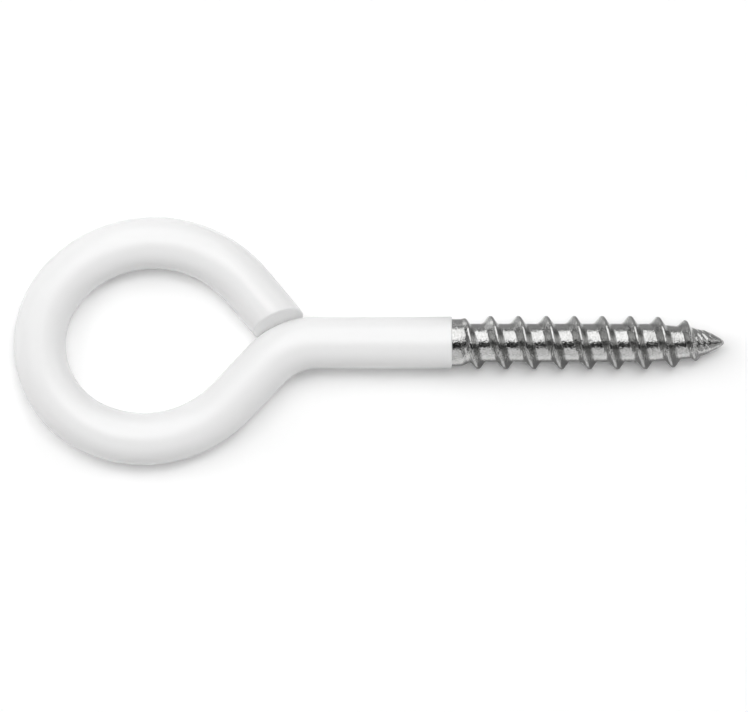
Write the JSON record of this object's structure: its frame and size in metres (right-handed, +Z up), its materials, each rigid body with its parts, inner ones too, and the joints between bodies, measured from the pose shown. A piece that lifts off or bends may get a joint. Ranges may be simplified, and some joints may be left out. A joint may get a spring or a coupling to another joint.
{
  "type": "screw eye",
  "caption": "Screw eye of bent steel wire with a right-hand wood-screw thread and point, and a white plastic coat over its pear-shaped eye and shank, to hold a hook, rope or cord.",
  "frame": {"origin": "on the screw's axis, where the coat ends and the bare wire starts", "axes": "+X along the screw towards its point, the eye at -X, +Y across the eye towards its cut end, +Z up out of the plane of the eye, which lies flat"},
  "size_m": [0.0801, 0.028, 0.0066],
  "materials": {
    "plated_steel": "bright plated, with the fine marks of thread rolling",
    "white_plastic": "smooth satin-gloss coat"
  },
  "bodies": {
    "root": {"steel_wire": "plated_steel", "white_coating": "white_plastic"}
  },
  "joints": []
}
